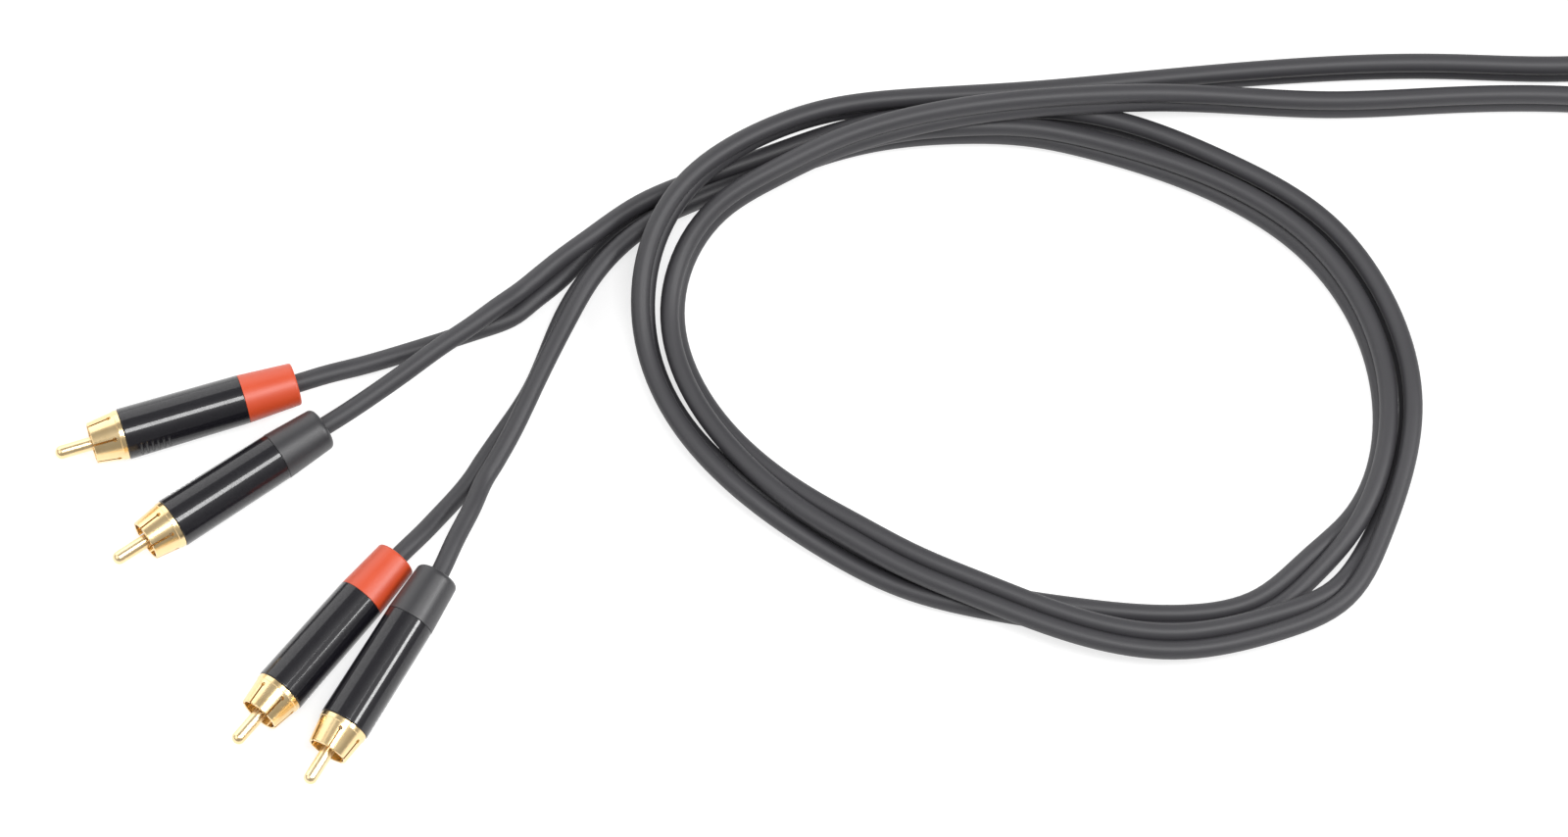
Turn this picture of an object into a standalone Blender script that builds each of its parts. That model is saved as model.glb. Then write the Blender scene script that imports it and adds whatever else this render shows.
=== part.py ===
"""Twin stereo phono lead: two plugs at each end of one figure-eight cord, lying in a loose loop.

Units are metres and +Z is up. The table is the plane z = 0 and the origin is on it, in the middle of the
four plugs. Each plug is built upright about its own Z axis, with the cord end up and z = 0 at the front
edge of its shell, and is then laid down by its parent empty.
"""
import math

import bmesh
import bpy
import numpy as np
from mathutils import Matrix, Vector

# Clearances
CLEAR = 0.0003                 # between solid pieces that touch
CORD_CLEAR = 0.0002            # around the cord in its rubber boot

# Centre pin
PIN_DIA = 0.0032
PIN_REACH = 0.0089             # from the mouth of the collar to the tip
PIN_CUP_DIA = 0.0044
PIN_CUP_BORE = 0.0024
PIN_CUP_DEPTH = 0.0034
PIN_CUP_LENGTH = 0.0046

# Slotted ground collar
COLLAR_LENGTH = 0.0077         # from its mouth to the shell
COLLAR_MOUTH_DIA = 0.0099
COLLAR_BASE_DIA = 0.0117
COLLAR_BORE_DIA = 0.0087
COLLAR_LIP = 0.0003            # bevel round the mouth
COLLAR_RING_DIA = 0.0120
COLLAR_RING_LENGTH = 0.0009
COLLAR_FLOOR = 0.0010          # thickness behind the open cup
COLLAR_CHAMFER = 0.0001        # from the ring down to the tapered cup
SPIGOT_LENGTH = 0.0060         # the stem that screws into the shell
SPIGOT_BORE = 0.0068
SLOT_COUNT = 6
SLOT_WIDTH = 0.0005
SLOT_LENGTH = 0.0052           # from the mouth to the middle of the keyhole
KEYHOLE_DIA = 0.0011
CUTTER_OVERSHOOT = 0.0010      # how far a cutter reaches out of its piece

# Insulator between pin and collar
INSULATOR_FLANGE_DIA = 0.0081
INSULATOR_FLANGE = 0.0006

# Ground tag with its cord clamp
TAG_THICKNESS = 0.0006
TAG_RING_BORE = 0.0050
TAG_WIDTH = 0.0022
CLAMP_LENGTH = 0.0040
CLAMP_TO_BOOT = 0.0013         # from the clamp to the boot's front end inside the shell
ARM_INSET = 0.00014            # the arm's outer face inside the ring's edge
ARM_LAP = 0.0002               # how deep the arm runs into the clamp's wall
ARM_SHORT = 0.0005             # the arm ends this far before the clamp's end
CLAMP_ANGLE = math.radians(215)

# Insulating sleeve inside the shell
LINER_WALL = 0.0003
LINER_TO_BOOT = 0.0027         # from the sleeve to the boot's front end inside the shell

# Shell
SHELL_FRONT_DIA = 0.0124
SHELL_REAR_DIA = 0.0118
SHELL_BORE = 0.0094
SHELL_LENGTH = 0.0295
SHELL_EDGE = 0.00025           # bevel on the front edge
GROOVE_COUNT = 6
GROOVE_PITCH = 0.00136
GROOVE_FIRST = 0.0031          # from the front edge to the first groove
GROOVE_WIDTH = 0.0006
GROOVE_DEPTH = 0.0005

# Rubber boot
BOOT_LENGTH = 0.0128
BOOT_SPIGOT_LENGTH = 0.0040
BOOT_CAVITY = 0.0060
BOOT_CAVITY_DEPTH = 0.0030     # how far the cavity runs into the visible part
BLACK_BOOT_FRONT_DIA = 0.0119
BLACK_BOOT_REAR_DIA = 0.0104
BLACK_BOOT_EDGE = 0.0013
RED_BOOT_FRONT_DIA = 0.0117
RED_BOOT_REAR_DIA = 0.0102
RED_BOOT_EDGE = 0.0006

# Cord
CORD_DIA = 0.0045              # one strand; the twin lead is two of them side by side
CORE_DIA = 0.0022
CORE_WIRE_DIA = 0.0012
SHIELD_DIA = 0.0010
JACKET_LEAD = 0.0005           # how far the outer jacket reaches out of the clamp, towards the pin
TAIL_TO_PIN = 0.0015           # from the pin's cup to the braid's twisted tail
CORD_END_LEAD = 0.0030         # straight run of each strand before it joins its neighbour
TWIN_POINTS = 80
LEG_POINTS = 11

# Facets round each piece
SHELL_SIDES = 28
COLLAR_SIDES = 24
BOOT_SIDES = 24
PIN_SIDES = 14
PIN_TIP_STEPS = 4
INNER_SIDES = 12
LINER_SIDES = 16
CORE_SIDES = 8
TAG_SIDES = 20
CLAMP_POINTS = 12              # on each face of the clamp
KEYHOLE_POINTS = 9
BOOT_EDGE_STEPS = 3
STRAND_POINTS = 7              # on each half of the twin lead's section

# Places of the plugs: shell front edge x, y, heading and pitch of the axis in degrees, then the turn of
# the collar's slots and of the shell's grooves, from straight up towards the right of the heading.
PLUGS = {
    "upper_red": (-0.0311, 0.0351, 17.6, 0.0, 29.0, 75.0),
    "upper_black": (-0.0189, 0.0125, 34.9, 0.0, 41.0, -76.0),
    "lower_red": (0.0071, -0.0295, 51.1, 0.0, 30.5, 111.0),
    "lower_black": (0.0222, -0.0379, 59.4, 2.6, 10.0, 107.0),
}

# Route of the twin lead in millimetres: x, y, z of its middle, then its tilt in degrees, 0 lying flat and
# 90 standing on edge. The first strip runs from the upper plugs round the loop, the last one runs back
# from the far bend round the same loop to the lower plugs.
UPPER_STRIP = [
    (66.2, 73.8, 3.2, 5), (71, 77.9, 3.7, 28), (77.3, 83.6, 4.6, 76), (89.9, 93.9, 4.8, 98),
    (102.6, 100.3, 4.5, 106), (120.5, 107.1, 4.5, 106), (136.3, 112.9, 4.5, 104), (149, 116.1, 4.5, 100),
    (167.9, 117.9, 4.6, 95), (186.5, 118.5, 4.9, 92), (206.3, 115.2, 4.6, 92), (229.5, 105.4, 4.6, 90),
    (253.9, 89.2, 4.6, 86), (266.4, 71, 4.6, 82), (273, 42.9, 4.7, 76), (263.8, 8.5, 4.8, 52),
    (254.9, -5.6, 6.4, 20), (240.4, -12.9, 7.3, 0), (216.6, -17.6, 7.3, -4), (193.8, -13.8, 7.3, 0),
    (170.9, -4.8, 7.3, 0), (153.5, 3.1, 7.2, 0), (141.7, 10, 7, 6), (130.6, 17.1, 6.5, 18),
    (117.6, 28.2, 5.2, 40), (103.6, 47, 4.3, 58), (98.4, 66.9, 5.2, 72), (101.5, 80.5, 8.1, 80),
    (110, 91.2, 11.8, 84), (122.2, 98.5, 14, 84), (136.5, 105.7, 14.6, 82), (149.4, 110.1, 15.2, 78),
    (172.1, 114.9, 15.4, 80), (197, 117.8, 14.2, 82), (216, 119.7, 11, 84), (235.2, 120.7, 6.7, 86),
    (255, 120.6, 4.8, 86), (282, 121.8, 4.6, 87), (310.2, 122.2, 4.6, 88),
]
FAR_BEND = [
    (326.8, 120.3, 4.6, 90), (342.6, 113.9, 4.6, 90), (358.5, 103.9, 4.6, 90), (381.1, 96.4, 4.6, 90),
    (402.6, 104.9, 4.6, 90), (411.8, 126.4, 4.6, 90), (402.6, 148.1, 4.6, 90), (381.1, 156.6, 4.6, 90),
    (358.6, 149, 4.6, 90), (342.6, 138.6, 4.6, 90), (326.8, 131.8, 4.6, 90),
]
LOWER_STRIP = [
    (310.3, 130, 4.6, 90), (282.1, 130.7, 4.6, 89), (243.5, 129.3, 4.6, 88), (207.5, 126, 4.6, 85),
    (181, 123.5, 4.6, 84), (154.3, 121.7, 4.7, 84), (138.2, 118.9, 6.5, 84), (122.9, 111.9, 11.3, 84),
    (111, 103.9, 14.4, 88), (101.8, 95.2, 15.2, 96), (94.8, 84.1, 13.1, 102), (91.5, 70, 8.8, 106),
    (92.9, 56, 5.5, 108), (101.1, 38, 4.4, 116), (114.3, 23.5, 4, 134), (133.3, 10.3, 2.9, 168),
    (152.9, -0.3, 2.5, 176), (170.8, -5.4, 2.4, 180), (194.1, -9.3, 2.4, 180), (217.9, -11, 2.4, 180),
    (237.7, -6.5, 2.4, 180), (249, 3, 3.2, 172), (258.8, 13.6, 4.4, 130), (267, 43.6, 4.6, 110),
    (260.8, 68.4, 4.4, 114), (249.5, 84.5, 4.5, 118), (234.2, 96.1, 4.6, 116), (215.9, 104.7, 4.5, 110),
    (196.3, 110.8, 4.7, 104), (184.5, 112.9, 5.5, 100), (166.7, 113.1, 6.3, 92), (147.9, 111, 6.3, 84),
    (135.9, 107.8, 5.8, 76), (120.4, 102.1, 5.2, 74), (99.7, 93.6, 5.2, 72), (87.6, 85.3, 5.9, 67),
    (78.4, 74.9, 5.5, 64), (73.2, 65.7, 4.8, 62), (65.5, 47.7, 4.6, 77), (59.1, 35.5, 4.2, 52),
    (55, 28.5, 3.9, 41),
]
TWIN_ROUTE = UPPER_STRIP + FAR_BEND + LOWER_STRIP

# Free part of each single strand, in millimetres, between its boot and the twin lead.
LEG_ROUTES = {
    "upper_red": [(16.9, 51.0, 4.8), (24.0, 53.8, 2.7), (33.3, 56.8, 2.4), (44.0, 60.4, 2.4),
                  (54.0, 63.9, 2.4), (61.0, 66.9, 2.5)],
    "upper_black": [(21.2, 40.5, 6.0), (27.0, 44.8, 5.8), (36.0, 51.4, 6.5), (44.0, 57.8, 7.4),
                    (51.0, 63.0, 7.6), (57.0, 68.2, 6.9), (60.6, 71.8, 5.0)],
    "lower_red": [(39.8, 10.6, 4.6), (43.3, 15.2, 3.1), (47.3, 20.1, 2.5)],
    "lower_black": [(47.2, 6.6, 8.0), (49.0, 10.8, 7.4), (51.5, 16.5, 6.6)],
}

MATERIALS = {
    "gold": ((0.86, 0.62, 0.26, 1), 0.22, 1.0),
    "gold_pin": ((0.90, 0.68, 0.32, 1), 0.16, 1.0),
    "black_lacquer": ((0.012, 0.012, 0.014, 1), 0.28, 0.35),
    "red_rubber": ((0.80, 0.075, 0.028, 1), 0.55, 0.0),
    "black_rubber": ((0.028, 0.028, 0.030, 1), 0.60, 0.0),
    "cord_jacket": ((0.034, 0.034, 0.038, 1), 0.48, 0.0),
    "insulator_plastic": ((0.72, 0.70, 0.64, 1), 0.45, 0.0),
    "liner_plastic": ((0.62, 0.64, 0.66, 1), 0.35, 0.0),
    "tinned_brass": ((0.78, 0.74, 0.62, 1), 0.30, 1.0),
    "core_insulation": ((0.80, 0.80, 0.78, 1), 0.40, 0.0),
    "copper": ((0.83, 0.42, 0.22, 1), 0.30, 1.0),
}


def clear_scene():
    for obj in list(bpy.data.objects):
        bpy.data.objects.remove(obj, do_unlink=True)


def make_material(name):
    colour, roughness, metallic = MATERIALS[name]
    material = bpy.data.materials.new(name)
    material.use_nodes = True
    shader = material.node_tree.nodes["Principled BSDF"]
    shader.inputs["Base Color"].default_value = colour
    shader.inputs["Roughness"].default_value = roughness
    shader.inputs["Metallic"].default_value = metallic
    material.diffuse_color = colour
    return material


def evaluated_mesh(obj):
    """The object's mesh with its modifiers, welded; the object itself is removed."""
    depsgraph = bpy.context.evaluated_depsgraph_get()
    mesh = bpy.data.meshes.new_from_object(obj.evaluated_get(depsgraph))
    bm = bmesh.new()
    bm.from_mesh(mesh)
    bmesh.ops.remove_doubles(bm, verts=bm.verts, dist=1e-6)
    bm.to_mesh(mesh)
    bm.free()
    bpy.data.objects.remove(obj, do_unlink=True)
    return mesh


def smooth(mesh, degrees=32):
    mesh.shade_smooth()
    mesh.set_sharp_from_angle(angle=math.radians(degrees))
    return mesh


def turned(profile, sides, closed):
    """Revolve (radius, z) points, listed top to bottom on the outer side, about Z."""
    bm = bmesh.new()
    verts = [bm.verts.new((r, 0, z)) for r, z in profile]
    for a, b in zip(verts, verts[1:]):
        bm.edges.new((a, b))
    if closed:
        bm.edges.new((verts[-1], verts[0]))
    mesh = bpy.data.meshes.new("profile")
    bm.to_mesh(mesh)
    bm.free()
    obj = bpy.data.objects.new("profile", mesh)
    work.objects.link(obj)
    screw = obj.modifiers.new("Turn", "SCREW")
    screw.axis = "Z"
    screw.steps = sides
    screw.render_steps = sides
    screw.use_merge_vertices = True
    screw.merge_threshold = 0.00001
    return obj


def flat_plate(outlines, thickness):
    """A plate in the XY plane from closed outlines, as thick as given, centred on z = 0."""
    curve = bpy.data.curves.new("outline", "CURVE")
    curve.dimensions = "2D"
    curve.fill_mode = "BOTH"
    curve.extrude = thickness / 2
    for points in outlines:
        spline = curve.splines.new("POLY")
        spline.points.add(len(points) - 1)
        for point, (x, y) in zip(spline.points, points):
            point.co = (x, y, 0, 1)
        spline.use_cyclic_u = True
    obj = bpy.data.objects.new("outline", curve)
    work.objects.link(obj)
    return evaluated_mesh(obj)


def arc(radius, start, end, count, centre=(0.0, 0.0)):
    return [(centre[0] + radius * math.cos(start + (end - start) * i / (count - 1)),
             centre[1] + radius * math.sin(start + (end - start) * i / (count - 1))) for i in range(count)]


def boolean(obj, cutter, operation):
    modifier = obj.modifiers.new(operation.title(), "BOOLEAN")
    modifier.operation = operation
    modifier.solver = "EXACT"
    modifier.object = cutter


def cutter_object(name, mesh):
    obj = bpy.data.objects.new(name, mesh)
    obj.hide_render = True
    obj.display_type = "WIRE"
    cutters.objects.link(obj)
    return obj


def copies_round_z(mesh, matrices):
    bm = bmesh.new()
    for matrix in matrices:
        piece = mesh.copy()
        piece.transform(matrix)
        bm.from_mesh(piece)
        bpy.data.meshes.remove(piece)
    out = bpy.data.meshes.new("copies")
    bm.to_mesh(out)
    bm.free()
    return out


def boot_inner_end():
    """Front end of the boot's stem inside the shell."""
    return SHELL_LENGTH + CLEAR - BOOT_SPIGOT_LENGTH


def clamp_start():
    return boot_inner_end() - CLAMP_TO_BOOT - CLAMP_LENGTH


def jacket_start():
    """Where the cord's outer jacket ends inside the plug."""
    return clamp_start() - JACKET_LEAD


def pin_cup_end():
    return insulator_rear() + CLEAR + PIN_CUP_LENGTH


def pin_mesh():
    radius = PIN_DIA / 2
    tip = -COLLAR_LENGTH - PIN_REACH
    cup_start = insulator_rear() + CLEAR
    cup_end = pin_cup_end()
    cup_floor = cup_end - PIN_CUP_DEPTH
    profile = [(0, cup_floor), (PIN_CUP_BORE / 2, cup_floor), (PIN_CUP_BORE / 2, cup_end),
               (PIN_CUP_DIA / 2, cup_end), (PIN_CUP_DIA / 2, cup_start), (radius, cup_start)]
    for i in range(PIN_TIP_STEPS):
        a = math.pi / 2 * i / PIN_TIP_STEPS
        profile.append((radius * math.cos(a), tip + radius - radius * math.sin(a)))
    profile.append((0, tip))
    return smooth(evaluated_mesh(turned(profile, PIN_SIDES, False)))


def insulator_rear():
    return SPIGOT_LENGTH + CLEAR


def insulator_mesh():
    bore = PIN_DIA / 2 + CLEAR
    flange = INSULATOR_FLANGE_DIA / 2
    body = SPIGOT_BORE / 2 - CLEAR
    front = -COLLAR_FLOOR - CLEAR - INSULATOR_FLANGE
    profile = [(bore, insulator_rear()), (body, insulator_rear()), (body, front + INSULATOR_FLANGE),
               (flange, front + INSULATOR_FLANGE), (flange, front), (bore, front)]
    return smooth(evaluated_mesh(turned(profile, INNER_SIDES, True)))


def keyhole_cutters():
    """One radial prism for each slot, with a keyhole outline that is open at the mouth."""
    radius = KEYHOLE_DIA / 2
    half = SLOT_WIDTH / 2
    middle = -COLLAR_LENGTH + SLOT_LENGTH
    neck = math.asin(half / radius)
    outline = [(half, -COLLAR_LENGTH - CUTTER_OVERSHOOT)]
    outline += arc(radius, -math.pi / 2 + neck, 3 * math.pi / 2 - neck, KEYHOLE_POINTS, (0, middle))
    outline += [(-half, -COLLAR_LENGTH - CUTTER_OVERSHOOT)]
    inner = COLLAR_BORE_DIA / 4
    outer = COLLAR_RING_DIA / 2 + CUTTER_OVERSHOOT
    prism = flat_plate([outline], outer - inner)
    stand = Matrix(((0, 0, 1, (inner + outer) / 2), (1, 0, 0, 0), (0, 1, 0, 0), (0, 0, 0, 1)))
    return copies_round_z(prism, [Matrix.Rotation(2 * math.pi * i / SLOT_COUNT, 4, "Z") @ stand
                                  for i in range(SLOT_COUNT)])


def collar_mesh():
    mouth = -COLLAR_LENGTH
    spigot = SHELL_BORE / 2 - CLEAR
    ring = COLLAR_RING_DIA / 2
    base = COLLAR_BASE_DIA / 2
    rear = -CLEAR
    profile = [(SPIGOT_BORE / 2, SPIGOT_LENGTH), (spigot, SPIGOT_LENGTH), (spigot, rear), (ring, rear),
               (ring, rear - COLLAR_RING_LENGTH), (base, rear - COLLAR_RING_LENGTH - COLLAR_CHAMFER),
               (COLLAR_MOUTH_DIA / 2, mouth + COLLAR_LIP), (COLLAR_MOUTH_DIA / 2 - COLLAR_LIP / 2, mouth),
               (COLLAR_BORE_DIA / 2, mouth), (COLLAR_BORE_DIA / 2, -COLLAR_FLOOR),
               (SPIGOT_BORE / 2, -COLLAR_FLOOR)]
    body = turned(profile, COLLAR_SIDES, True)
    slots = cutter_object("collar_slots", keyhole_cutters())
    boolean(body, slots, "DIFFERENCE")
    mesh = evaluated_mesh(body)
    bpy.data.objects.remove(slots, do_unlink=True)
    return smooth(mesh)


def tag_mesh():
    """Ring behind the collar's stem, an arm along the sleeve and an open clamp round the cord."""
    outer = SHELL_BORE / 2 - CLEAR - LINER_WALL - CLEAR
    ring_z = SPIGOT_LENGTH + CLEAR + CLEAR + TAG_THICKNESS / 2
    ring_edge = arc(outer, 0, 2 * math.pi * (TAG_SIDES - 1) / TAG_SIDES, TAG_SIDES)
    ring_bore = arc(TAG_RING_BORE / 2, 0, 2 * math.pi * (INNER_SIDES - 1) / INNER_SIDES, INNER_SIDES)
    ring = flat_plate([ring_edge, ring_bore], TAG_THICKNESS)
    ring.transform(Matrix.Translation((0, 0, ring_z)))
    clamp_in = CORD_DIA / 2 + CLEAR
    clamp_out = clamp_in + TAG_THICKNESS
    start = math.pi - CLAMP_ANGLE / 2
    strip = arc(clamp_out, start, start + CLAMP_ANGLE, CLAMP_POINTS)
    strip += arc(clamp_in, start + CLAMP_ANGLE, start, CLAMP_POINTS)
    clamp = flat_plate([strip], CLAMP_LENGTH)
    clamp.transform(Matrix.Translation((0, 0, clamp_start() + CLAMP_LENGTH / 2)))
    arm_length = clamp_start() + CLAMP_LENGTH - ARM_SHORT - ring_z
    arm_out = outer - ARM_INSET
    arm_depth = arm_out - (clamp_out - ARM_LAP)
    bm = bmesh.new()
    bmesh.ops.create_cube(bm, size=1.0, matrix=Matrix.Translation(
        (arm_depth / 2 - arm_out, 0, ring_z + arm_length / 2)) @ Matrix.Diagonal(
        (arm_depth, TAG_WIDTH, arm_length, 1)))
    arm = bpy.data.meshes.new("arm")
    bm.to_mesh(arm)
    bm.free()
    body = bpy.data.objects.new("tag", arm)
    work.objects.link(body)
    joined = []
    for name, mesh in (("tag_ring", ring), ("tag_clamp", clamp)):
        other = cutter_object(name, mesh)
        boolean(body, other, "UNION")
        joined.append(other)
    mesh = evaluated_mesh(body)
    for other in joined:
        bpy.data.objects.remove(other, do_unlink=True)
    return smooth(mesh)


def liner_mesh():
    outer = SHELL_BORE / 2 - CLEAR
    inner = outer - LINER_WALL
    front = SPIGOT_LENGTH + CLEAR
    rear = boot_inner_end() - LINER_TO_BOOT
    profile = [(inner, rear), (outer, rear), (outer, front), (inner, front)]
    return smooth(evaluated_mesh(turned(profile, LINER_SIDES, True)))


def shell_mesh():
    front = SHELL_FRONT_DIA / 2
    bore = SHELL_BORE / 2
    profile = [(bore, SHELL_LENGTH), (SHELL_REAR_DIA / 2, SHELL_LENGTH), (front, SHELL_EDGE),
               (front - SHELL_EDGE, 0), (bore, 0)]
    body = turned(profile, SHELL_SIDES, True)
    bm = bmesh.new()
    block = front
    for i in range(GROOVE_COUNT):
        middle = Matrix.Translation((front - GROOVE_DEPTH + block / 2, 0, GROOVE_FIRST + GROOVE_PITCH * i))
        extent = Matrix.Diagonal((block, 2 * block, GROOVE_WIDTH, 1))
        bmesh.ops.create_cube(bm, size=1.0, matrix=middle @ extent)
    mesh = bpy.data.meshes.new("grooves")
    bm.to_mesh(mesh)
    bm.free()
    grooves = cutter_object("grip_grooves", mesh)
    boolean(body, grooves, "DIFFERENCE")
    mesh = evaluated_mesh(body)
    bpy.data.objects.remove(grooves, do_unlink=True)
    return smooth(mesh)


def boot_mesh(front_dia, rear_dia, edge):
    front = SHELL_LENGTH + CLEAR
    rear = front + BOOT_LENGTH
    hole = CORD_DIA / 2 + CORD_CLEAR
    cavity = BOOT_CAVITY / 2
    cavity_end = front + BOOT_CAVITY_DEPTH
    spigot = SHELL_BORE / 2 - CLEAR
    profile = [(hole, rear)]
    for i in range(BOOT_EDGE_STEPS + 1):
        a = math.pi / 2 * (1 - i / BOOT_EDGE_STEPS)
        profile.append((rear_dia / 2 - edge + edge * math.cos(a), rear - edge + edge * math.sin(a)))
    profile += [(front_dia / 2, front), (spigot, front), (spigot, front - BOOT_SPIGOT_LENGTH),
                (cavity, front - BOOT_SPIGOT_LENGTH), (cavity, cavity_end),
                (hole, cavity_end + cavity - hole)]
    return smooth(evaluated_mesh(turned(profile, BOOT_SIDES, True)))


def core_mesh():
    """Inner conductor: a bare end in the pin's solder cup, then its insulation up to the jacket."""
    wire = CORE_WIRE_DIA / 2
    cup_end = pin_cup_end()
    tip = cup_end - PIN_CUP_DEPTH + CLEAR
    step = cup_end + CLEAR
    rear = jacket_start() - CLEAR
    profile = [(0, rear), (CORE_DIA / 2, rear), (CORE_DIA / 2, step), (wire, step), (wire, tip), (0, tip)]
    return smooth(evaluated_mesh(turned(profile, CORE_SIDES, False)))


def natural_spline(rows, count):
    """Points at even steps along a natural cubic through the rows, in every column."""
    rows = np.array(rows, float)
    knots = np.concatenate([[0], np.cumsum(np.linalg.norm(np.diff(rows[:, :3], axis=0), axis=1))])
    n = len(knots)
    h = np.diff(knots)
    system = np.zeros((n, n))
    system[0, 0] = system[-1, -1] = 1
    right = np.zeros_like(rows)
    for i in range(1, n - 1):
        system[i, i - 1:i + 2] = (h[i - 1], 2 * (h[i - 1] + h[i]), h[i])
        right[i] = 6 * ((rows[i + 1] - rows[i]) / h[i] - (rows[i] - rows[i - 1]) / h[i - 1])
    bend = np.linalg.solve(system, right)
    where = np.linspace(0, knots[-1], count)
    k = np.clip(np.searchsorted(knots, where, side="right") - 1, 0, n - 2)
    b = ((where - knots[k]) / h[k])[:, None]
    a = 1 - b
    cubic = (a ** 3 - a) * bend[k] + (b ** 3 - b) * bend[k + 1]
    return a * rows[k] + b * rows[k + 1] + cubic * h[k][:, None] ** 2 / 6


def poly_curve(name, points, tilts=None):
    curve = bpy.data.curves.new(name, "CURVE")
    curve.dimensions = "3D"
    curve.use_fill_caps = True
    spline = curve.splines.new("POLY")
    spline.points.add(len(points) - 1)
    for i, point in enumerate(points):
        spline.points[i].co = (point[0], point[1], point[2], 1)
        if tilts is not None:
            spline.points[i].tilt = tilts[i]
    spline.use_smooth = True
    return curve


def twin_section():
    """Closed figure-eight outline of the twin lead, used only as the guide that its curve follows."""
    radius = CORD_DIA / 2
    curve = bpy.data.curves.new("twin_section", "CURVE")
    curve.dimensions = "2D"
    right = arc(radius, math.radians(-135), math.radians(135), STRAND_POINTS, (radius, 0))
    left = arc(radius, math.radians(45), math.radians(315), STRAND_POINTS, (-radius, 0))
    spline = curve.splines.new("POLY")
    spline.points.add(len(right + left) - 1)
    for point, (x, y) in zip(spline.points, (right + left)[::-1]):
        point.co = (x, y, 0, 1)
    spline.use_cyclic_u = True
    guide = bpy.data.objects.new("twin_section", curve)
    guide.hide_render = True
    guide.display_type = "WIRE"
    cutters.objects.link(guide)
    return guide


def strand_ends(rows, reverse):
    """Middle, outward run and side direction of the twin lead at one of its ends."""
    points = rows[::-1] if reverse else rows
    here = Vector(points[0][:3])
    run = (Vector(points[1][:3]) - here).normalized()
    forward = -run if reverse else run
    left = Vector((-forward.y, forward.x, 0)).normalized()
    up = forward.cross(left)
    tilt = math.radians(points[0][3])
    side = left * math.cos(tilt) + up * math.sin(tilt)
    return here, run, side


def place(name, mesh, material, parent, turn=0.0):
    obj = bpy.data.objects.new(name, mesh)
    if not mesh.materials:
        mesh.materials.append(material)
    obj.parent = parent
    obj.rotation_euler = (0, 0, math.radians(turn))
    parts.objects.link(obj)
    return obj


clear_scene()
parts = bpy.data.collections.new("phono_lead")
cutters = bpy.data.collections.new("cutters_and_guides")
work = bpy.data.collections.new("profiles")
for collection in (parts, cutters, work):
    bpy.context.scene.collection.children.link(collection)
materials = {name: make_material(name) for name in MATERIALS}

pin = pin_mesh()
insulator = insulator_mesh()
collar = collar_mesh()
tag = tag_mesh()
liner = liner_mesh()
shell = shell_mesh()
red_boot = boot_mesh(RED_BOOT_FRONT_DIA, RED_BOOT_REAR_DIA, RED_BOOT_EDGE)
black_boot = boot_mesh(BLACK_BOOT_FRONT_DIA, BLACK_BOOT_REAR_DIA, BLACK_BOOT_EDGE)
core = core_mesh()
bpy.data.collections.remove(work)

# The four plugs, each laid along its heading with its shell's front edge on the table
frames = {}
for plug, (x, y, heading, pitch, slot_turn, groove_turn) in PLUGS.items():
    h, p = math.radians(heading), math.radians(pitch)
    axis = Vector((math.cos(h) * math.cos(p), math.sin(h) * math.cos(p), math.sin(p)))
    empty = bpy.data.objects.new(plug, None)
    empty.empty_display_size = 0.01
    empty.location = (x, y, SHELL_FRONT_DIA / 2)
    empty.rotation_euler = axis.to_track_quat("Z", "X").to_euler()
    parts.objects.link(empty)
    frames[plug] = (Vector(empty.location), axis)
    place(plug + "_pin", pin, materials["gold_pin"], empty)
    place(plug + "_insulator", insulator, materials["insulator_plastic"], empty)
    place(plug + "_collar", collar, materials["gold"], empty, slot_turn)
    place(plug + "_ground_tag", tag, materials["tinned_brass"], empty)
    place(plug + "_liner", liner, materials["liner_plastic"], empty)
    place(plug + "_shell", shell, materials["black_lacquer"], empty, groove_turn)
    if plug.endswith("red"):
        place(plug + "_boot", red_boot, materials["red_rubber"], empty)
    else:
        place(plug + "_boot", black_boot, materials["black_rubber"], empty)
    place(plug + "_core", core, materials["core_insulation"], empty)
    # Braid twisted to a tail and laid along the inner face of the ground tag's arm
    clamp_out = CORD_DIA / 2 + CLEAR + TAG_THICKNESS
    seat = clamp_out - ARM_LAP - CLEAR - SHIELD_DIA / 2
    rear = jacket_start() - CLEAR
    leave = CORE_DIA / 2 + CLEAR + SHIELD_DIA / 2
    length = rear - pin_cup_end() - TAIL_TO_PIN
    tail = poly_curve(plug + "_shield_tail", [
        (-leave, 0, rear), (-(seat + leave) / 2, 0, rear - length / 4), (-seat, 0, rear - length / 2),
        (-seat, 0, rear - length)])
    tail.bevel_depth = SHIELD_DIA / 2
    tail.bevel_resolution = 1
    tail.materials.append(materials["copper"])
    tail_object = bpy.data.objects.new(plug + "_shield_tail", tail)
    tail_object.parent = empty
    parts.objects.link(tail_object)

# The twin lead, swept along its route with a figure-eight section
twin_rows = [(x / 1000, y / 1000, z / 1000, tilt) for x, y, z, tilt in TWIN_ROUTE]
sampled = natural_spline(twin_rows, TWIN_POINTS)
twin = poly_curve("twin_lead", sampled[:, :3], np.radians(sampled[:, 3]))
twin.twist_mode = "Z_UP"
twin.bevel_mode = "OBJECT"
twin.bevel_object = twin_section()
twin.materials.append(materials["cord_jacket"])
parts.objects.link(bpy.data.objects.new("twin_lead", twin))

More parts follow.
